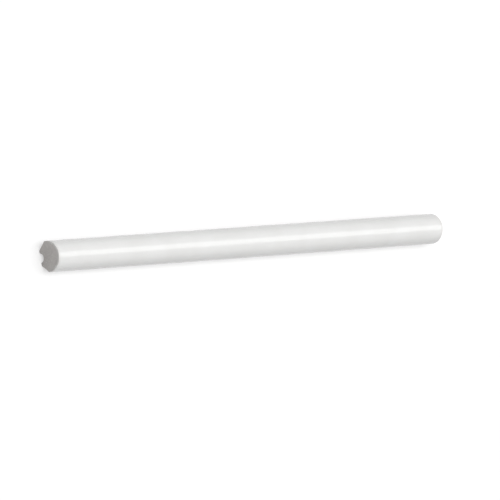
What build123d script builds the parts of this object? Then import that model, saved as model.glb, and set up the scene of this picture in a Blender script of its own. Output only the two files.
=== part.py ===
from build123d import *

import math
import os

# Ceramic tile trim: a slender glazed bead, pressed and fired as one piece, that rounds off an outside
# corner of a tiled wall. It lies on its back with the face up. X runs along its length, Y across the
# face and Z from the back to the crest of the face. The origin is on the plane of the lands, midway.

# Driving sizes, in millimetres and degrees
LENGTH = 304.8  # end to end
FACE_WIDTH = 15.9  # across the face between the arris lines, before these are rounded
THICKNESS = 12.7  # plane of the lands to the crest of the face
BEVEL_ANGLE = 45.0  # grout bevel to the plane of the lands, so that the two bevels stand square
HOLLOW_WIDTH = 4.8  # mouth of the hollow along the back
HOLLOW_DEPTH = 2.1  # plane of the lands to the top of the hollow
LAND_WIDTH = 1.4  # strip on each side of the hollow, before its edges are rounded
ARRIS_RADIUS = 0.8  # between the face and a bevel
LAND_RADIUS = 0.5  # along both sides of a land
END_RADIUS = 0.3  # round the outline of an end

# Points of the section that follow from them
half_width = FACE_WIDTH / 2
land_inner = HOLLOW_WIDTH / 2
land_outer = land_inner + LAND_WIDTH
arris_height = (half_width - land_outer) * math.tan(math.radians(BEVEL_ANGLE))

with BuildPart() as quarter_round_trim:
    with BuildSketch(Plane.YZ):
        with BuildLine():
            # One land and the bevel that rises from it to the arris, then the same on the other side
            land = Line((land_inner, 0), (land_outer, 0))
            bevel = Line(land @ 1, (half_width, arris_height))
            mirror(about=Plane.YZ)
            # The round face over both arrises, and the hollow between the lands
            ThreePointArc(bevel @ 1, (0, THICKNESS), (-half_width, arris_height))
            ThreePointArc(land @ 0, (0, HOLLOW_DEPTH), (-land_inner, 0))
        make_face()
    extrude(amount=LENGTH / 2, both=True)

    # Pressed clay has no sharp edge: the arrises, the lands, then the outline of both ends
    fillet(edges().filter_by(Axis.X).group_by(Axis.Z)[-1], ARRIS_RADIUS)
    fillet(edges().filter_by(Axis.X).group_by(Axis.Z)[0], LAND_RADIUS)
    fillet(faces().filter_by(Axis.X).edges(), END_RADIUS)

quarter_round_trim.part.label = "quarter_round_trim"

os.makedirs("parts", exist_ok=True)
export_step(quarter_round_trim.part, "parts/quarter_round_trim.step")
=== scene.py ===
"""Glazed ceramic tile trim on a studio floor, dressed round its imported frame."""

import math

import bpy
import numpy as np
from bpy.props import FloatProperty, FloatVectorProperty, PointerProperty
from mathutils import Matrix, Vector


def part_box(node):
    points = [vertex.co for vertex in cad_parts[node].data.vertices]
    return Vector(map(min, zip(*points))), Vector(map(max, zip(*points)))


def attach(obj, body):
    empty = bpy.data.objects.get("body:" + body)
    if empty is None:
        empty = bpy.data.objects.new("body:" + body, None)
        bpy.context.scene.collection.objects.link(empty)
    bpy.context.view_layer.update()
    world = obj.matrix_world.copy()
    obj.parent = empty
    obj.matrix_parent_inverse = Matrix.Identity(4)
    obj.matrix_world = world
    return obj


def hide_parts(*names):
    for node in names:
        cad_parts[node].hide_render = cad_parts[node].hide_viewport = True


bl_info = {
    "name": "Glazed Tile Trim",
    "version": (1, 0, 0),
    "blender": (4, 5, 0),
    "location": "3D View > Sidebar > Trim",
    "description": "Dresses a ceramic tile trim in its glaze and lays it on a studio floor",
    "category": "Object",
}

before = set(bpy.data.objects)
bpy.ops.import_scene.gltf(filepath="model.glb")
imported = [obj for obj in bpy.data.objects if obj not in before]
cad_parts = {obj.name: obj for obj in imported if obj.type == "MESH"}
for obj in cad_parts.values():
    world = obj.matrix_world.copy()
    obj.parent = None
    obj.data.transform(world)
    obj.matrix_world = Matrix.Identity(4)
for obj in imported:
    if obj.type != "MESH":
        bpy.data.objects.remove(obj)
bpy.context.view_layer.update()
NODE = "quarter_round_trim"
BEAD_LOW, BEAD_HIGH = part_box(NODE)
MM = 0.001

# The two values that the bead's mesh carries to its material: how far a point lies inside the glaze
# line, in millimetres, and how much the glaze has drawn back from an edge there, from 0 to 1
COVER = "glaze_cover"
THIN = "glaze_thin"

# Steps along each stretch of half a section. The stretches in front of the arris tip and those behind
# it add up to the same number, so that the two sides of an end can be joined step by step.
FRONT_STEPS = {"face": 48, "upper_arris": 7}
BACK_STEPS = {"lower_arris": 6, "bevel": 28, "outer_edge": 4, "land": 2, "inner_edge": 4, "hollow": 11}
HALF_STEPS = sum(FRONT_STEPS.values())
END_STEPS = 5  # round the edge of an end
END_ROWS = 18  # across an end, from the face's edge to the back's
STATION_GAP = 1.4 * MM  # between sections along the trim
BEVEL_CROWD = 1.4  # power that crowds a bevel's steps towards its arris, where the glaze ends

# The edge of the glaze
LINE_FADE = 0.12 * MM  # half the width over which the glaze ends on a bevel
RIM_FADE = 0.15 * MM  # half the width over which it ends on an end
EDGE_FADE = 0.1 * MM  # half the width over which a bare end goes down from its edge
ROLL_WIDTH = 0.2 * MM  # half the width of the roll along the glaze line, and how far inside it lies
ROLL_HEIGHT = 0.3  # height of that roll, in glaze thicknesses
LOW_STRIP = 2.6 * MM  # bare body beside the line that lies a glaze thickness lower
LOW_STRIP_FADE = 1.2 * MM  # half the width over which the body comes back level
THIN_AT_ARRIS = 0.75 * MM  # how far from an arris tip the glaze has drawn back, round the section
THIN_AT_END = 0.5 * MM  # how far from an end, along the trim
THIN_ON_END = 0.6 * MM  # how far from the face's edge, on an end

# Lengths and seeds of the slow waves: in the glaze lines, over the face, and in the rims on the ends
LINE_WAVES = (34 * MM, 19 * MM, 11 * MM, 7 * MM)
FACE_WAVES = (26 * MM, 17 * MM, 11 * MM, 8 * MM)
RIM_WAVES = (9 * MM, 5 * MM, 3 * MM)
SEEDS = {"left_line": 5, "right_line": 9, "face": 3, "near_rim": 21, "far_rim": 22}

# The bead's own map, under this name. The long side lies on it in strips, one above the other, and
# the two ends lie side by side over them.
MAP = "OFBake"
MAP_STRIPS = 2
MAP_SIDE = 0.84  # height of all the strips together, as a share of the map
MAP_MARGIN = 0.004  # left free round each patch, as a share of the map


class BeadSizes(bpy.types.PropertyGroup):
    """Sizes of the trim's section and ends"""

    length: FloatProperty(
        name="Length", description="From end to end",
        default=BEAD_HIGH.x - BEAD_LOW.x, min=20 * MM, unit="LENGTH")
    face_width: FloatProperty(
        name="Face width", description="Across the face between the arris lines, before these are rounded",
        default=15.9 * MM, min=1 * MM, unit="LENGTH")
    thickness: FloatProperty(
        name="Thickness", description="Plane of the lands to the crest of the face",
        default=12.7 * MM, min=1 * MM, unit="LENGTH")
    bevel_angle: FloatProperty(
        name="Bevel angle", description="Grout bevel to the plane of the lands",
        default=math.radians(45.0), min=0.1, max=1.4, unit="ROTATION")
    hollow_width: FloatProperty(
        name="Hollow width", description="Mouth of the hollow along the back",
        default=4.8 * MM, min=0.5 * MM, unit="LENGTH")
    hollow_depth: FloatProperty(
        name="Hollow depth", description="Plane of the lands to the top of the hollow",
        default=2.1 * MM, min=0.1 * MM, unit="LENGTH")
    land_width: FloatProperty(
        name="Land width", description="Strip on each side of the hollow, before its edges are rounded",
        default=1.4 * MM, min=0.1 * MM, unit="LENGTH")
    arris_radius: FloatProperty(
        name="Arris radius", description="Rounding between the face and a bevel",
        default=0.8 * MM, min=0.05 * MM, unit="LENGTH")
    land_radius: FloatProperty(
        name="Land radius", description="Rounding along both sides of a land",
        default=0.5 * MM, min=0.05 * MM, unit="LENGTH")
    end_radius: FloatProperty(
        name="End radius", description="Rounding round the outline of an end",
        default=0.3 * MM, min=0.02 * MM, unit="LENGTH")


class GlazeCoat(bpy.types.PropertyGroup):
    """The gloss glaze over the face and how far it reaches"""

    colour: FloatVectorProperty(
        name="Colour", description="Glaze at full thickness",
        default=(0.93, 0.93, 0.92), size=3, min=0.0, max=1.0, subtype="COLOR")
    cloud_colour: FloatVectorProperty(
        name="Cloud colour", description="Glaze where it has pooled a little less",
        default=(0.90, 0.898, 0.885), size=3, min=0.0, max=1.0, subtype="COLOR")
    thin_colour: FloatVectorProperty(
        name="Thin colour", description="Glaze that has drawn back from an edge and lets the body show",
        default=(0.76, 0.735, 0.70), size=3, min=0.0, max=1.0, subtype="COLOR")
    thickness: FloatProperty(
        name="Thickness", description="Step from the glaze down to the bare body",
        default=0.12 * MM, min=0.0, unit="LENGTH")
    lip: FloatProperty(
        name="Lip", description="How far the glaze runs down the back from the middle of an arris",
        default=1.0 * MM, min=0.0, unit="LENGTH")
    lip_wander: FloatProperty(
        name="Lip wander", description="The most that the glaze line on a bevel strays to either side",
        default=0.9 * MM, min=0.0, unit="LENGTH")
    rim: FloatProperty(
        name="Rim", description="How far the glaze runs over the face's edge onto an end",
        default=0.55 * MM, min=0.0, unit="LENGTH")
    rim_wander: FloatProperty(
        name="Rim wander", description="The most that the glaze line on an end strays to either side",
        default=0.45 * MM, min=0.0, unit="LENGTH")
    ripple: FloatProperty(
        name="Ripple", description="Slow waves in the fired glaze, at most, from their mean to a crest",
        default=0.07 * MM, min=0.0, unit="LENGTH")
    roughness: FloatVectorProperty(
        name="Roughness", description="Glaze where it is smoothest and where it is dullest",
        default=(0.05, 0.09), size=2, min=0.0, max=1.0)
    refraction: FloatProperty(
        name="Refraction", description="Index of refraction, which sets how strongly the glaze reflects",
        default=1.52, min=1.0)


class ClayBody(bpy.types.PropertyGroup):
    """The bare fired body on bevels, lands, hollow and ends"""

    colour: FloatVectorProperty(
        name="Colour", description="Fired body",
        default=(0.66, 0.632, 0.612), size=3, min=0.0, max=1.0, subtype="COLOR")
    cloud_colour: FloatVectorProperty(
        name="Cloud colour", description="Paler clouds in the fired body",
        default=(0.73, 0.705, 0.682), size=3, min=0.0, max=1.0, subtype="COLOR")
    dark_grain: FloatVectorProperty(
        name="Dark grain", description="Dark grains in the fired body",
        default=(0.33, 0.30, 0.28), size=3, min=0.0, max=1.0, subtype="COLOR")
    pale_grain: FloatVectorProperty(
        name="Pale grain", description="Pale grains in the fired body",
        default=(0.84, 0.82, 0.79), size=3, min=0.0, max=1.0, subtype="COLOR")
    grain_strength: FloatProperty(
        name="Grain strength", description="How far a grain takes the body's colour to its own",
        default=0.6, min=0.0, max=1.0, subtype="FACTOR")
    roughness: FloatVectorProperty(
        name="Roughness", description="Fired body in its paler clouds and between them",
        default=(0.80, 0.90), size=2, min=0.0, max=1.0)


class StudioStage(bpy.types.PropertyGroup):
    """Camera, lamp, sky and floor"""

    azimuth: FloatProperty(
        name="Azimuth", description="Camera's turn about the vertical, from straight along +Y",
        default=math.radians(-83.83), unit="ROTATION")
    elevation: FloatProperty(
        name="Elevation", description="Camera's height above the horizon",
        default=math.radians(39.57), unit="ROTATION")
    roll: FloatProperty(
        name="Roll", description="Camera's turn about its own line of sight",
        default=math.radians(76.16), unit="ROTATION")
    distance: FloatProperty(
        name="Distance", description="Camera to the middle of the trim",
        default=4.260, min=0.1, unit="LENGTH")
    lens: FloatProperty(
        name="Lens", description="Focal length",
        default=602.0, min=1.0, unit="CAMERA")
    aim: FloatVectorProperty(
        name="Aim", description="From the trim's middle to the middle of the frame, right and up",
        default=(1.69 * MM, -4.22 * MM), size=2, unit="LENGTH")
    lamp_power: FloatProperty(
        name="Lamp power", description="Power of the long lamp overhead",
        default=12.2, min=0.0, unit="POWER")
    lamp_place: FloatVectorProperty(
        name="Lamp place", description="Middle of the long lamp",
        default=(-0.2, 0.0, 0.9), size=3, subtype="TRANSLATION", unit="LENGTH")
    lamp_length: FloatProperty(
        name="Lamp length", description="Length of the long lamp, in line with the trim",
        default=3.8, min=0.01, unit="LENGTH")
    lamp_width: FloatProperty(
        name="Lamp width", description="Width of the long lamp, which sets how broad its reflection is",
        default=0.56, min=0.01, unit="LENGTH")
    sky_strength: FloatProperty(
        name="Sky strength", description="Soft light from straight overhead",
        default=0.58, min=0.0)
    sky_rim: FloatProperty(
        name="Sky rim", description="Soft light from the horizon, as a share of that from overhead",
        default=0.20, min=0.0, max=1.0, subtype="FACTOR")
    floor_colour: FloatVectorProperty(
        name="Floor colour", description="Pale floor where it is seen",
        default=(0.54, 0.54, 0.54), size=3, min=0.0, max=1.0, subtype="COLOR")
    floor_bounce: FloatVectorProperty(
        name="Floor bounce", description="Pale floor in the light that it scatters back",
        default=(0.42, 0.42, 0.42), size=3, min=0.0, max=1.0, subtype="COLOR")
    floor_lift: FloatProperty(
        name="Floor lift", description="White added to the floor where it is seen, with its shadow kept",
        default=0.55, min=0.0, max=1.0, subtype="FACTOR")
    floor_reach: FloatProperty(
        name="Floor reach", description="From the middle of the floor to each of its sides",
        default=9.0, min=0.5, unit="LENGTH")


SETTINGS = {
    "bead_sizes": BeadSizes,
    "glaze_coat": GlazeCoat,
    "clay_body": ClayBody,
    "studio_stage": StudioStage,
}


def arc(centre, radius, start, stop, steps, side=1.0):
    """Points on a circle from one angle to another, with the directions out of the material there.

    A point is the centre plus the radius times (cosine, sine) of its angle. Its outward direction is
    that same (cosine, sine), turned round where side is -1 and the material lies outside the circle.
    """
    angle = np.linspace(start, stop, steps + 1)
    spoke = np.stack([np.cos(angle), np.sin(angle)], axis=1)
    return np.asarray(centre) + radius * spoke, side * spoke


def straight(start, stop, outward, steps, crowd=1.0):
    """Points on a line, at shares of its length that are even steps raised to the power of crowd."""
    share = np.linspace(0.0, 1.0, steps + 1)[:, None] ** crowd
    points = np.asarray(start) + share * (np.asarray(stop) - np.asarray(start))
    return points, np.broadcast_to(outward, points.shape)


def joined(stretches):
    """Stretches end to end as one array of points and one of outward directions, shared ends once."""
    points, outward = zip(*stretches)
    return tuple(np.concatenate([rows[0], *(row[1:] for row in rows[1:])]) for rows in (points, outward))


def face_circle(sizes):
    """Centre and radius of the face: the circle through both arris lines and the crest.

    The radius is half the chord squared plus the rise squared, over twice the rise.
    """
    half = sizes.face_width / 2
    foot = sizes.hollow_width / 2 + sizes.land_width
    rise = sizes.thickness - (half - foot) * math.tan(sizes.bevel_angle)
    radius = (half**2 + rise**2) / (2 * rise)
    return np.array([0.0, sizes.thickness - radius]), radius


def half_section(sizes):
    """Right half of the section in (across, up): crest to arris tip, then arris tip to hollow.

    The arris is a small circle that touches the face from inside and the bevel: its centre lies on the
    bevel moved inwards by its radius, at the difference of the two radii from the face's centre. The
    hollow is the circle through both inner land lines and its own top, and the land edges are small
    circles that touch the land and what adjoins it. The arris tip is the middle of the arris.
    """
    inner = sizes.hollow_width / 2
    foot = np.array([inner + sizes.land_width, 0.0])
    along = np.array([math.cos(sizes.bevel_angle), math.sin(sizes.bevel_angle)])
    out = np.array([along[1], -along[0]])
    down = math.atan2(out[1], out[0])

    face_centre, face_radius = face_circle(sizes)
    start = foot - sizes.arris_radius * out - face_centre
    reach = face_radius - sizes.arris_radius
    travel = -start @ along + math.sqrt((start @ along) ** 2 - start @ start + reach**2)
    arris_centre = face_centre + start + travel * along
    touch = math.atan2(arris_centre[1] - face_centre[1], arris_centre[0])
    tip = (touch + down) / 2

    edge = sizes.land_radius
    hollow_radius = (inner**2 + sizes.hollow_depth**2) / (2 * sizes.hollow_depth)
    hollow_centre = np.array([0.0, sizes.hollow_depth - hollow_radius])
    lift = edge - hollow_centre[1]
    inner_centre = np.array([math.sqrt((hollow_radius + edge) ** 2 - lift**2), edge])
    outer_centre = np.array([foot[0] - edge * math.tan(sizes.bevel_angle / 2), edge])
    mouth = math.atan2(lift, inner_centre[0])
    below = np.array([0.0, -1.0])

    front = joined([
        arc(face_centre, face_radius, math.pi / 2, touch, FRONT_STEPS["face"]),
        arc(arris_centre, sizes.arris_radius, touch, tip, FRONT_STEPS["upper_arris"]),
    ])
    back = joined([
        arc(arris_centre, sizes.arris_radius, tip, down, BACK_STEPS["lower_arris"]),
        straight(arris_centre + sizes.arris_radius * out, outer_centre + edge * out, out,
                 BACK_STEPS["bevel"], crowd=BEVEL_CROWD),
        arc(outer_centre, edge, down, -math.pi / 2, BACK_STEPS["outer_edge"]),
        straight(outer_centre + edge * below, inner_centre + edge * below, below, BACK_STEPS["land"]),
        arc(inner_centre, edge, -math.pi / 2, mouth - math.pi, BACK_STEPS["inner_edge"]),
        arc(hollow_centre, hollow_radius, mouth, math.pi / 2, BACK_STEPS["hollow"], side=-1.0),
    ])
    return front, back


def lengths_along(curve):
    """Distance of each point from the curve's first one, as the sum of the straight gaps."""
    gaps = np.linalg.norm(np.diff(curve, axis=0), axis=1)
    return np.concatenate([[0.0], np.cumsum(gaps)])


def whole_section(sizes):
    """Closed section: left arris tip, over the face to the right tip, and back under it.

    Returns points, outward directions, and run: the distance along the section from the nearer arris
    tip, counted down the back as positive and up the face as negative.
    """
    (front, front_out), (back, back_out) = half_section(sizes)
    up_face = -lengths_along(front[::-1])[::-1]
    down_back = lengths_along(back)

    def closed(before, behind, mirror):
        """One half and its mirror image as a ring, with the crest and the hollow's top once each."""
        return np.concatenate([mirror * before[:0:-1], before, behind[1:], mirror * behind[-2:0:-1]])

    flip = np.array([-1.0, 1.0])
    return closed(front, back, flip), closed(front_out, back_out, flip), closed(up_face, down_back, 1.0)


def swell(places, seed, lengths):
    """Slow waves from -1 to 1 over places: a sum of sines, one for each wave length.

    Each wave has a heading and a phase drawn from the seed, and a height in step with its length. A
    place has one number, along the trim, or two, along it and round its section.
    """
    draw = np.random.default_rng(seed)
    lengths = np.asarray(lengths)
    phases = draw.uniform(0.0, 2 * math.pi, len(lengths))
    turns = draw.uniform(-1.0, 1.0, len(lengths))
    headings = np.stack([np.cos(turns), np.sin(turns)])[: places.shape[-1]]
    waves = np.sin(2 * math.pi * (places @ headings) / lengths + phases)
    return waves @ (lengths / lengths.sum())


def smooth_step(value, width):
    """0 below minus width, 1 above width, and an S-shaped cubic between."""
    share = np.clip((value + width) / (2 * width), 0.0, 1.0)
    return share * share * (3 - 2 * share)


def bell(value, width):
    """A bell curve that is 1 at 0: e to the power of minus the square of value over width."""
    return np.exp(-((value / width) ** 2))


def stations(sizes):
    """Places along X where the section is set: x, how far it is drawn in, and how far it has turned.

    Between the ends the section keeps its size. Over the last end radius it turns through a quarter
    circle: x gains the radius times the sine, and the section is drawn in by the radius times one
    minus the cosine.
    """
    turn = np.linspace(0.0, math.pi / 2, END_STEPS + 1)[1:]
    half = sizes.length / 2 - sizes.end_radius
    body = np.linspace(-half, half, round(2 * half / STATION_GAP) + 1)
    turned = np.concatenate([-turn[::-1], np.zeros(len(body)), turn])
    x = np.concatenate([np.full(END_STEPS, -half), body, np.full(END_STEPS, half)])
    return x + sizes.end_radius * np.sin(turned), sizes.end_radius * (1 - np.cos(turned)), np.sin(turned)


def bead_side(sizes, glaze):
    """The long surface: the section carried along X, as a grid of stations by points of the section.

    A point's cover is how far it lies inside the glaze line: the lip and the line's stray, less its run
    down the back. Each point moves along its outward direction by the relief: the glaze carries slow
    waves, no higher than the section's outline, and a roll along its line, and beside the line the bare
    body lies a glaze thickness lower and comes back level towards the lands. The glaze is thin near an
    arris tip and near an end, by a bell curve of the distance. Returns places, cover and thin.
    """
    points, outward, run = whole_section(sizes)
    x, drawn_in, turned = stations(sizes)
    left = points[:, 0] < 0.0
    strays = [swell(x[:, None], SEEDS[line], LINE_WAVES)[:, None] for line in ("left_line", "right_line")]
    cover = glaze.lip + glaze.lip_wander * np.where(left, *strays) - run

    glazed = smooth_step(cover, LINE_FADE)
    beside = smooth_step(cover + LOW_STRIP, LOW_STRIP_FADE)
    from_crest = np.where(left, -1.0, 1.0) * (run - run.min())
    spread = np.stack(np.broadcast_arrays(x[:, None], from_crest), axis=-1)
    waved = glaze.ripple * (swell(spread, SEEDS["face"], FACE_WAVES) - 1)
    rolled = ROLL_HEIGHT * glaze.thickness * bell(cover - ROLL_WIDTH, ROLL_WIDTH)
    relief = glazed * (waved + rolled) - (1 - glazed) * beside * glaze.thickness
    ring = points + (relief - drawn_in[:, None])[..., None] * outward
    along = x[:, None] - turned[:, None] * (1 - glazed) * glaze.thickness

    to_end = (sizes.length / 2 - np.abs(x))[:, None]
    thin = np.maximum(bell(run, THIN_AT_ARRIS), bell(to_end, THIN_AT_END)) * smooth_step(cover, ROLL_WIDTH)
    return np.concatenate([along[..., None], ring], axis=2), cover, thin


def bead_end(sizes, glaze, ring, sign, seed):
    """One end: from each point of the face's edge a straight row to its fellow on the back's edge.

    A row's points divide the line between the two into even shares. Cover is the rim and its stray, less
    the distance inwards from the face's circle. Where the glaze has not run over the edge, the end lies
    a glaze thickness lower, and it goes down to that from the edge by an S-shaped step of the distance
    along the row. Returns the rows' inner places, cover and thin.
    """
    column = np.arange(1, 2 * HALF_STEPS)
    share = (np.arange(1, END_ROWS) / END_ROWS)[:, None]
    inner = (1 - share)[..., None] * ring[column] + share[..., None] * ring[-column]
    centre, radius = face_circle(sizes)
    spoke = inner[..., 1:] - centre
    inwards = radius - np.linalg.norm(spoke, axis=2)
    round_edge = radius * np.arctan2(spoke[..., 0], spoke[..., 1])
    cover = glaze.rim + glaze.rim_wander * swell(round_edge[..., None], seed, RIM_WAVES) - inwards
    level = sign * (sizes.length / 2 - glaze.thickness * (1 - smooth_step(cover, RIM_FADE)))
    from_edge = np.minimum(share, 1 - share) * np.linalg.norm(ring[column] - ring[-column], axis=1)
    inner[..., 0] += smooth_step(from_edge - EDGE_FADE, EDGE_FADE) * (level - inner[..., 0])
    return inner, cover, bell(inwards, THIN_ON_END)


def end_faces(first_of_ring, first_inside, sign):
    """Corners of one end's quads, and of the triangles where its rows shrink to the two arris tips."""
    tip = 2 * HALF_STEPS
    grid = np.empty((END_ROWS + 1, tip + 1), int)
    grid[0] = first_of_ring + np.arange(tip + 1)
    grid[-1] = first_of_ring + (-np.arange(tip + 1)) % (2 * tip)
    grid[1:-1, 0] = first_of_ring
    grid[1:-1, -1] = first_of_ring + tip
    inside = (END_ROWS - 1) * (tip - 1)
    grid[1:-1, 1:-1] = first_inside + np.arange(inside).reshape(END_ROWS - 1, tip - 1)
    quads = np.stack([grid[:-1, 1:-2], grid[1:, 1:-2], grid[1:, 2:-1], grid[:-1, 2:-1]], axis=-1)
    left = np.stack([grid[:-1, 0], grid[1:, 1], grid[:-1, 1]], axis=-1)
    right = np.stack([grid[:-1, -2], grid[1:, -2], grid[:-1, -1]], axis=-1)
    return quads.reshape(-1, 4)[:, ::sign], np.concatenate([left, right])[:, ::sign]


def map_patch(across, up, left, right, low, high):
    """Places on the map: two shares from 0 to 1 carried into a rectangle, less the margin all round."""
    u = left + MAP_MARGIN + across * (right - left - 2 * MAP_MARGIN)
    v = low + MAP_MARGIN + up * (high - low - 2 * MAP_MARGIN)
    return np.stack(np.broadcast_arrays(u, v), axis=-1).reshape(-1, 2)


def side_map(rings, count):
    """Where the corners of the long side's quads lie on the map, in the order of the quads.

    The side is cut across into strips of about as many rings each. Every ring takes the same room along
    its strip, and every step of the section the same room up it, so finer stretches get more of the map.
    """
    row = np.arange(rings - 1)[:, None, None]
    step = np.arange(count)[:, None]
    rows = math.ceil((rings - 1) / MAP_STRIPS)
    low = row // rows * MAP_SIDE / MAP_STRIPS
    across = (row % rows + np.array([0, 1, 1, 0])) / rows
    up = (step + np.array([0, 0, 1, 1])) / count
    return map_patch(across, up, 0.0, 1.0, low, low + MAP_SIDE / MAP_STRIPS)


def end_map(sizes, corners, sign):
    """Where the corners of an end's faces lie on the map: the end upright, as it is seen from outside.

    The near end takes the left half of the row over the strips, and the far end the right half.
    """
    across = 0.5 + sign * corners[..., 1] / sizes.face_width
    left = 0.25 + 0.25 * sign
    return map_patch(across, corners[..., 2] / sizes.thickness, left, left + 0.5, MAP_SIDE, 1.0)


def bead_surface(sizes, glaze):
    """The whole trim as one closed surface: the long side, with an end sewn to its first and last ring.

    Returns places, faces, where the faces' corners lie on the map, cover and thin.
    """
    side, side_cover, side_thin = bead_side(sizes, glaze)
    rings, count = side_cover.shape
    near = bead_end(sizes, glaze, side[0], -1, SEEDS["near_rim"])
    far = bead_end(sizes, glaze, side[-1], 1, SEEDS["far_rim"])
    row = np.arange(rings - 1)[:, None] * count
    step = np.arange(count)
    onward = (step + 1) % count
    quads = np.stack([row + step, row + count + step, row + count + onward, row + onward], axis=-1)
    inside = rings * count
    near_quads, near_fans = end_faces(0, inside, -1)
    far_quads, far_fans = end_faces((rings - 1) * count, inside + near[1].size, 1)
    faces = [*quads.reshape(-1, 4).tolist(), *near_quads.tolist(), *far_quads.tolist(),
             *near_fans.tolist(), *far_fans.tolist()]
    places = np.concatenate([part.reshape(-1, 3) for part in (side, near[0], far[0])])
    cover = np.concatenate([side_cover.ravel(), near[1].ravel(), far[1].ravel()])
    thin = np.concatenate([side_thin.ravel(), near[2].ravel(), far[2].ravel()])
    ends = [(near_quads, -1), (far_quads, 1), (near_fans, -1), (far_fans, 1)]
    on_map = [side_map(rings, count)] + [end_map(sizes, places[kind], sign) for kind, sign in ends]
    return places, faces, np.concatenate(on_map), cover, thin


def add_node(tree, kind, sockets=None, **settings):
    """A node with its settings, each socket given a value or linked from another node's output."""
    node = tree.nodes.new(kind)
    for name, setting in settings.items():
        setattr(node, name, setting)
    for socket, value in (sockets or {}).items():
        if isinstance(value, bpy.types.NodeSocket):
            tree.links.new(value, node.inputs[socket])
        else:
            node.inputs[socket].default_value = value
    return node


def add_math(tree, operation, *values):
    """The result of one sum on numbers or sockets."""
    return add_node(tree, "ShaderNodeMath", dict(enumerate(values)), operation=operation).outputs[0]


def add_mix(tree, factor, low, high):
    """A number that goes from low to high with the factor."""
    return add_node(tree, "ShaderNodeMix", {0: factor, 2: low, 3: high}).outputs[0]


def add_colour_mix(tree, factor, low, high):
    """A colour that goes from low to high with the factor."""
    ends = [end if isinstance(end, bpy.types.NodeSocket) else (*end, 1.0) for end in (low, high)]
    sockets = {0: factor, 6: ends[0], 7: ends[1]}
    return add_node(tree, "ShaderNodeMix", sockets, data_type="RGBA").outputs[2]


def add_range(tree, value, low, high, to_low=0.0, to_high=1.0):
    """A number carried from one range to another along an S-shaped curve, and held at its ends."""
    sockets = {"Value": value, 1: low, 2: high, 3: to_low, 4: to_high}
    return add_node(tree, "ShaderNodeMapRange", sockets, interpolation_type="SMOOTHSTEP").outputs[0]


def add_noise(tree, vector, size, detail=2.0):
    """Soft noise from 0 to 1 with clouds about as wide as size, in metres."""
    sockets = {"Vector": vector, "Scale": 1.0 / size, "Detail": detail, "Roughness": 0.55}
    return add_node(tree, "ShaderNodeTexNoise", sockets).outputs[0]


def new_group(name, inputs, outputs):
    """An empty shader group and its two end nodes. A socket called Vector is a place, the rest numbers."""
    tree = bpy.data.node_groups.new(name, "ShaderNodeTree")
    for in_out, sockets in (("INPUT", inputs), ("OUTPUT", outputs)):
        for socket in sockets:
            kind = "NodeSocketVector" if socket == "Vector" else "NodeSocketFloat"
            tree.interface.new_socket(socket, in_out=in_out, socket_type=kind)
    return tree, tree.nodes.new("NodeGroupInput"), tree.nodes.new("NodeGroupOutput")


def place_group(tree, group, sockets):
    """A group placed in a material, with its own values."""
    return add_node(tree, "ShaderNodeGroup", sockets, node_tree=group)


def clouds_group():
    """Group: a soft cloud from 0 to 1 that large and small noise share, used on glaze, body and floor."""
    tree, given, result = new_group("Clouds", ["Vector", "Per Metre"], ["Cloud"])
    sockets = {"Vector": given.outputs["Vector"], "Scale": given.outputs["Per Metre"], "Detail": 4.0}
    noise = add_node(tree, "ShaderNodeTexNoise", sockets).outputs[0]
    tree.links.new(add_range(tree, noise, low=0.32, high=0.68), result.inputs["Cloud"])
    return tree


def specks_group():
    """Group: specks from 0 to 1, one in the middle of some cells, used for grains, pits and pinholes.

    Space is cut into cells, and Share of them get a speck. It reaches out from the cell's middle by
    Reach, in widths of a cell, times a size that is the cell's own, and fades over the outer half. Its
    outline is frayed by noise as wide as the cells.
    """
    smallest, largest = 0.35, 1.25
    tree, given, result = new_group("Specks", ["Vector", "Per Metre", "Share", "Reach"], ["Speck"])
    place = {"Vector": given.outputs["Vector"], "Scale": given.outputs["Per Metre"]}
    cells = add_node(tree, "ShaderNodeTexVoronoi", place)
    fray = add_node(tree, "ShaderNodeTexNoise", {**place, "Detail": 3.0}).outputs[0]
    chance = add_node(tree, "ShaderNodeSeparateColor", {0: cells.outputs["Color"]}).outputs
    chosen = add_math(tree, "LESS_THAN", chance[0], given.outputs["Share"])
    size = add_math(tree, "MULTIPLY_ADD", chance[1], largest - smallest, smallest)
    reach = add_math(tree, "MULTIPLY", size, given.outputs["Reach"])
    stretch = add_range(tree, fray, low=0.3, high=0.7, to_low=0.6, to_high=1.4)
    frayed = add_math(tree, "MULTIPLY", cells.outputs["Distance"], stretch)
    fade = add_range(tree, add_math(tree, "DIVIDE", frayed, reach), low=1.0, high=0.5)
    tree.links.new(add_math(tree, "MULTIPLY", chosen, fade), result.inputs["Speck"])
    return tree


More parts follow.
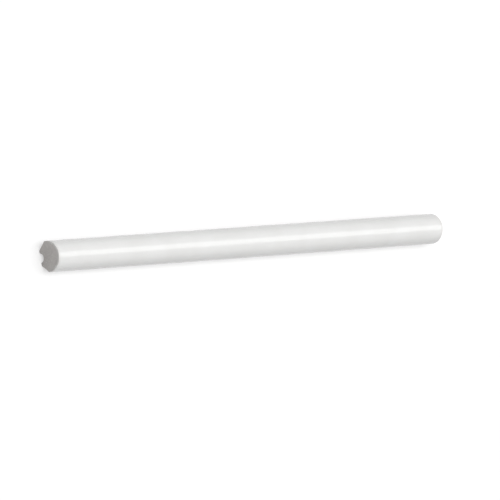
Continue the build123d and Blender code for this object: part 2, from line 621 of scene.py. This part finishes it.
def fired_grain_group(specks):
    """Group: pressed and fired clay, as dark and pale grains from 0 to 1 and a height in millimetres.

    Dark grains are many faint fine ones and a few coarse ones. The height is fine grain, less some pits,
    plus faint lines along X, which are noise drawn out to many times its width.
    """
    faint = 0.4
    pit_depth, line_height, grain_height = 0.06, 0.06, 0.06
    line_stretch = (0.03, 1.0, 1.0)
    tree, given, result = new_group("Fired Grain", ["Vector"], ["Dark", "Pale", "Height"])
    vector = given.outputs["Vector"]

    def speckled(per_metre, share, reach):
        sockets = {"Vector": vector, "Per Metre": per_metre, "Share": share, "Reach": reach}
        return place_group(tree, specks, sockets).outputs["Speck"]

    fine = speckled(per_metre=2600.0, share=0.24, reach=0.45)
    coarse = speckled(per_metre=700.0, share=0.2, reach=0.17)
    pale = speckled(per_metre=2100.0, share=0.3, reach=0.5)
    pits = speckled(per_metre=1000.0, share=0.4, reach=0.28)
    dark = add_math(tree, "MAXIMUM", add_math(tree, "MULTIPLY", fine, faint), coarse)

    drawn_out = add_node(tree, "ShaderNodeMapping", {"Vector": vector, "Scale": line_stretch}).outputs[0]
    lines = add_noise(tree, drawn_out, size=0.35 * MM, detail=3.0)
    grain = add_noise(tree, vector, size=0.3 * MM, detail=6.0)
    height = add_math(tree, "MULTIPLY", lines, line_height)
    height = add_math(tree, "MULTIPLY_ADD", pits, -pit_depth, height)
    height = add_math(tree, "MULTIPLY_ADD", grain, grain_height, height)

    tree.links.new(dark, result.inputs["Dark"])
    tree.links.new(pale, result.inputs["Pale"])
    tree.links.new(height, result.inputs["Height"])
    return tree


def glaze_melt_group(specks):
    """Group: melted glaze, as how dull it is, from 0 to 1, and a height in millimetres.

    The height is slow dimples and a finer orange peel, both noise, less a few pinholes.
    """
    dimple_height, peel_height, pinhole_depth = 0.03, 0.002, 0.04
    tree, given, result = new_group("Glaze Melt", ["Vector"], ["Dull", "Height"])
    vector = given.outputs["Vector"]
    dimples = add_noise(tree, vector, size=4.5 * MM, detail=1.0)
    peel = add_noise(tree, vector, size=1.1 * MM, detail=1.0)
    sockets = {"Vector": vector, "Per Metre": 160.0, "Share": 0.3, "Reach": 0.028}
    pinholes = place_group(tree, specks, sockets).outputs["Speck"]
    height = add_math(tree, "MULTIPLY", dimples, dimple_height)
    height = add_math(tree, "MULTIPLY_ADD", peel, peel_height, height)
    height = add_math(tree, "MULTIPLY_ADD", pinholes, -pinhole_depth, height)

    tree.links.new(add_noise(tree, vector, size=6.0 * MM, detail=3.0), result.inputs["Dull"])
    tree.links.new(height, result.inputs["Height"])
    return tree


def new_material(name):
    """A node material with its Principled shader, and its place on the object in metres."""
    material = bpy.data.materials.new(name)
    material.use_nodes = True
    tree = material.node_tree
    place = tree.nodes.new("ShaderNodeTexCoord").outputs["Object"]
    return material, tree, tree.nodes["Principled BSDF"], place


def ceramic_material(glaze, clay, clouds):
    """White gloss glaze inside the glaze line and bare fired body outside it.

    The line is the mesh's own cover value, frayed by fine noise. The glaze is clouded, and goes to its
    thin colour where the mesh says that it has drawn back. The body is clouded and full of grains. The
    fray, the blur and the height are in millimetres.
    """
    fray_width, blur, step = 0.5, 0.06, 0.05
    material, tree, shader, place = new_material("glazed_ceramic")
    specks = specks_group()
    cover = add_node(tree, "ShaderNodeAttribute", attribute_name=COVER).outputs["Fac"]
    thin = add_node(tree, "ShaderNodeAttribute", attribute_name=THIN).outputs["Fac"]
    noise = add_noise(tree, place, size=0.8 * MM, detail=3.0)
    fray = add_math(tree, "MULTIPLY_ADD", noise, fray_width, -fray_width / 2)
    glazed = add_range(tree, add_math(tree, "ADD", cover, fray), low=-blur, high=blur)

    melt = place_group(tree, glaze_melt_group(specks), {"Vector": place})
    pooled = place_group(tree, clouds, {"Vector": place, "Per Metre": 70.0}).outputs["Cloud"]
    glaze_colour = add_colour_mix(tree, pooled, glaze.cloud_colour, glaze.colour)
    bareness = add_range(tree, pooled, low=0.0, high=1.0, to_low=0.85, to_high=0.45)
    drawn_back = add_math(tree, "MULTIPLY", thin, bareness)
    glaze_colour = add_colour_mix(tree, drawn_back, glaze_colour, glaze.thin_colour)
    smooth, dull = glaze.roughness
    glaze_rough = add_range(tree, melt.outputs["Dull"], low=0.3, high=0.7, to_low=smooth, to_high=dull)

    grain = place_group(tree, fired_grain_group(specks), {"Vector": place})
    cloudy = place_group(tree, clouds, {"Vector": place, "Per Metre": 160.0}).outputs["Cloud"]
    clay_colour = add_colour_mix(tree, cloudy, clay.colour, clay.cloud_colour)
    pale = add_math(tree, "MULTIPLY", grain.outputs["Pale"], clay.grain_strength)
    clay_colour = add_colour_mix(tree, pale, clay_colour, clay.pale_grain)
    dark = add_math(tree, "MULTIPLY", grain.outputs["Dark"], clay.grain_strength)
    clay_colour = add_colour_mix(tree, dark, clay_colour, clay.dark_grain)
    in_clouds, between = clay.roughness
    clay_rough = add_range(tree, cloudy, low=1.0, high=0.0, to_low=in_clouds, to_high=between)

    height = add_mix(tree, glazed, grain.outputs["Height"], melt.outputs["Height"])
    height = add_math(tree, "MULTIPLY_ADD", glazed, step, height)
    bump = add_node(tree, "ShaderNodeBump", {"Height": height, "Strength": 1.0, "Distance": MM})
    tree.links.new(add_colour_mix(tree, glazed, clay_colour, glaze_colour), shader.inputs["Base Color"])
    tree.links.new(add_mix(tree, glazed, clay_rough, glaze_rough), shader.inputs["Roughness"])
    tree.links.new(bump.outputs["Normal"], shader.inputs["Normal"])
    shader.inputs["IOR"].default_value = glaze.refraction
    return material


def seen_directly(tree):
    """1 for a ray from the camera, or one that gloss or glass sends on, and 0 for scattered light."""
    rays = tree.nodes.new("ShaderNodeLightPath").outputs
    seen = add_math(tree, "MAXIMUM", rays["Is Camera Ray"], rays["Is Glossy Ray"])
    return add_math(tree, "MAXIMUM", seen, rays["Is Transmission Ray"])


def floor_material(stage, clouds):
    """Pale matt floor. Where it is seen, white is added, so that it reads white and keeps its shadow."""
    shade = 0.985
    material, tree, shader, place = new_material("studio_floor")
    cloud = place_group(tree, clouds, {"Vector": place, "Per Metre": 25.0}).outputs["Cloud"]
    darker = [shade * channel for channel in stage.floor_colour]
    shown = add_colour_mix(tree, cloud, darker, stage.floor_colour)
    seen = seen_directly(tree)
    tree.links.new(add_colour_mix(tree, seen, stage.floor_bounce, shown), shader.inputs["Base Color"])
    tree.links.new(add_math(tree, "MULTIPLY", seen, stage.floor_lift), shader.inputs["Emission Strength"])
    shader.inputs["Emission Color"].default_value = (1.0, 1.0, 1.0, 1.0)
    shader.inputs["Roughness"].default_value = 0.95
    shader.inputs["Specular IOR Level"].default_value = 0.1
    return material


def sky_world(stage):
    """Soft light, brightest overhead and weaker towards the horizon, and white where it is seen."""
    world = bpy.data.worlds.new("studio_sky")
    world.use_nodes = True
    tree = world.node_tree
    heading = tree.nodes.new("ShaderNodeTexCoord").outputs["Generated"]
    up = add_node(tree, "ShaderNodeSeparateXYZ", {0: heading}).outputs["Z"]
    weakest = stage.sky_rim * stage.sky_strength
    light = add_range(tree, up, low=0.2, high=1.0, to_low=weakest, to_high=stage.sky_strength)
    background = tree.nodes["Background"]
    background.inputs["Color"].default_value = (1.0, 1.0, 1.0, 1.0)
    tree.links.new(add_mix(tree, seen_directly(tree), light, 1.0), background.inputs["Strength"])
    return world


def new_object(context, name, mesh):
    """A mesh set at the origin, unturned and unscaled, with smooth faces."""
    mesh.shade_smooth()
    made = bpy.data.objects.new(name, mesh)
    context.scene.collection.objects.link(made)
    return made


def shared_clouds():
    """The cloud group, built once for all the materials."""
    return bpy.data.node_groups.get("Clouds") or clouds_group()


class TRIM_OT_glazed_bead(bpy.types.Operator):
    """Builds the trim as one closed surface, glazed over its face and bare behind"""

    bl_idname = "trim.glazed_bead"
    bl_label = "Glazed Bead"

    def execute(self, context):
        sizes, glaze = context.scene.bead_sizes, context.scene.glaze_coat
        places, faces, on_map, cover, thin = bead_surface(sizes, glaze)
        mesh = bpy.data.meshes.new("glazed_bead")
        mesh.from_pydata(places.tolist(), [], faces)
        mesh.uv_layers.new(name=MAP).uv.foreach_set("vector", on_map.ravel())
        mesh.attributes.new(COVER, "FLOAT", "POINT").data.foreach_set("value", cover / MM)
        mesh.attributes.new(THIN, "FLOAT", "POINT").data.foreach_set("value", thin)
        if mesh.validate():
            raise RuntimeError("the bead's surface has faces that can't be kept")
        mesh.materials.append(ceramic_material(glaze, context.scene.clay_body, shared_clouds()))
        bead = new_object(context, "glazed_bead", mesh)
        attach(bead, "root")
        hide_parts(NODE)
        return {"FINISHED"}


class TRIM_OT_studio(bpy.types.Operator):
    """Lays the floor, hangs the lamp, lights the sky and sets the camera"""

    bl_idname = "trim.studio"
    bl_label = "Studio"

    def execute(self, context):
        stage = context.scene.studio_stage
        self.lay_floor(context, stage)
        self.hang_lamp(context, stage)
        self.set_camera(context, stage)
        context.scene.world = sky_world(stage)
        context.scene.view_settings.view_transform = "Standard"
        return {"FINISHED"}

    def lay_floor(self, context, stage):
        """A flat sheet at the height of the lands."""
        across = np.array([-1.0, 1.0, 1.0, -1.0]) * stage.floor_reach
        corners = np.stack([across, np.roll(across, 1), np.full(4, BEAD_LOW.z)], axis=1)
        mesh = bpy.data.meshes.new("studio_floor")
        mesh.from_pydata(corners.tolist(), [], [(0, 1, 2, 3)])
        mesh.materials.append(floor_material(stage, shared_clouds()))
        new_object(context, "studio_floor", mesh)

    def hang_lamp(self, context, stage):
        """A long soft lamp overhead, in line with the trim, whose reflection runs down its crest."""
        light = bpy.data.lights.new("overhead_lamp", "AREA")
        light.shape = "RECTANGLE"
        light.size, light.size_y = stage.lamp_length, stage.lamp_width
        light.energy = stage.lamp_power
        lamp = bpy.data.objects.new("overhead_lamp", light)
        lamp.location = stage.lamp_place
        lamp.visible_camera = False
        context.scene.collection.objects.link(lamp)

    def set_camera(self, context, stage):
        """Camera on a sphere round the trim's middle, rolled about its line of sight."""
        turn, tilt = stage.azimuth, stage.elevation
        back = Vector((math.sin(turn) * math.cos(tilt), -math.cos(turn) * math.cos(tilt), math.sin(tilt)))
        level = Vector((0.0, 0.0, 1.0)).cross(back).normalized()
        upright = back.cross(level)
        right = math.cos(stage.roll) * level + math.sin(stage.roll) * upright
        up = math.cos(stage.roll) * upright - math.sin(stage.roll) * level
        middle = (BEAD_LOW + BEAD_HIGH) / 2 + stage.aim[0] * right + stage.aim[1] * up
        data = bpy.data.cameras.new("studio_camera")
        data.lens = stage.lens
        camera = bpy.data.objects.new("studio_camera", data)
        axes = Matrix((right, up, back)).transposed().to_4x4()
        camera.matrix_world = Matrix.Translation(middle + stage.distance * back) @ axes
        context.scene.collection.objects.link(camera)
        context.scene.camera = camera


class TRIM_PT_sidebar(bpy.types.Panel):
    """Sizes, finishes and stage of the trim, and what builds them"""

    bl_idname = "TRIM_PT_sidebar"
    bl_label = "Glazed Tile Trim"
    bl_space_type = "VIEW_3D"
    bl_region_type = "UI"
    bl_category = "Trim"

    def draw(self, context):
        for name, kind in SETTINGS.items():
            box = self.layout.box()
            box.label(text=name.replace("_", " ").capitalize())
            for setting in kind.__annotations__:
                box.prop(getattr(context.scene, name), setting)
        for operator in OPERATORS:
            self.layout.operator(operator.bl_idname)


OPERATORS = (TRIM_OT_glazed_bead, TRIM_OT_studio)
CLASSES = (*SETTINGS.values(), *OPERATORS, TRIM_PT_sidebar)


def register():
    """Makes the classes known to Blender and hangs the settings on its scenes."""
    for kind in CLASSES:
        bpy.utils.register_class(kind)
    for name, kind in SETTINGS.items():
        setattr(bpy.types.Scene, name, PointerProperty(type=kind))


def unregister():
    """Takes back what register did, in the opposite order."""
    for name in SETTINGS:
        delattr(bpy.types.Scene, name)
    for kind in reversed(CLASSES):
        bpy.utils.unregister_class(kind)


def main():
    """Registers the classes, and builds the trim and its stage."""
    register()
    bpy.ops.trim.glazed_bead()
    bpy.ops.trim.studio()


if __name__ == "__main__":
    main()
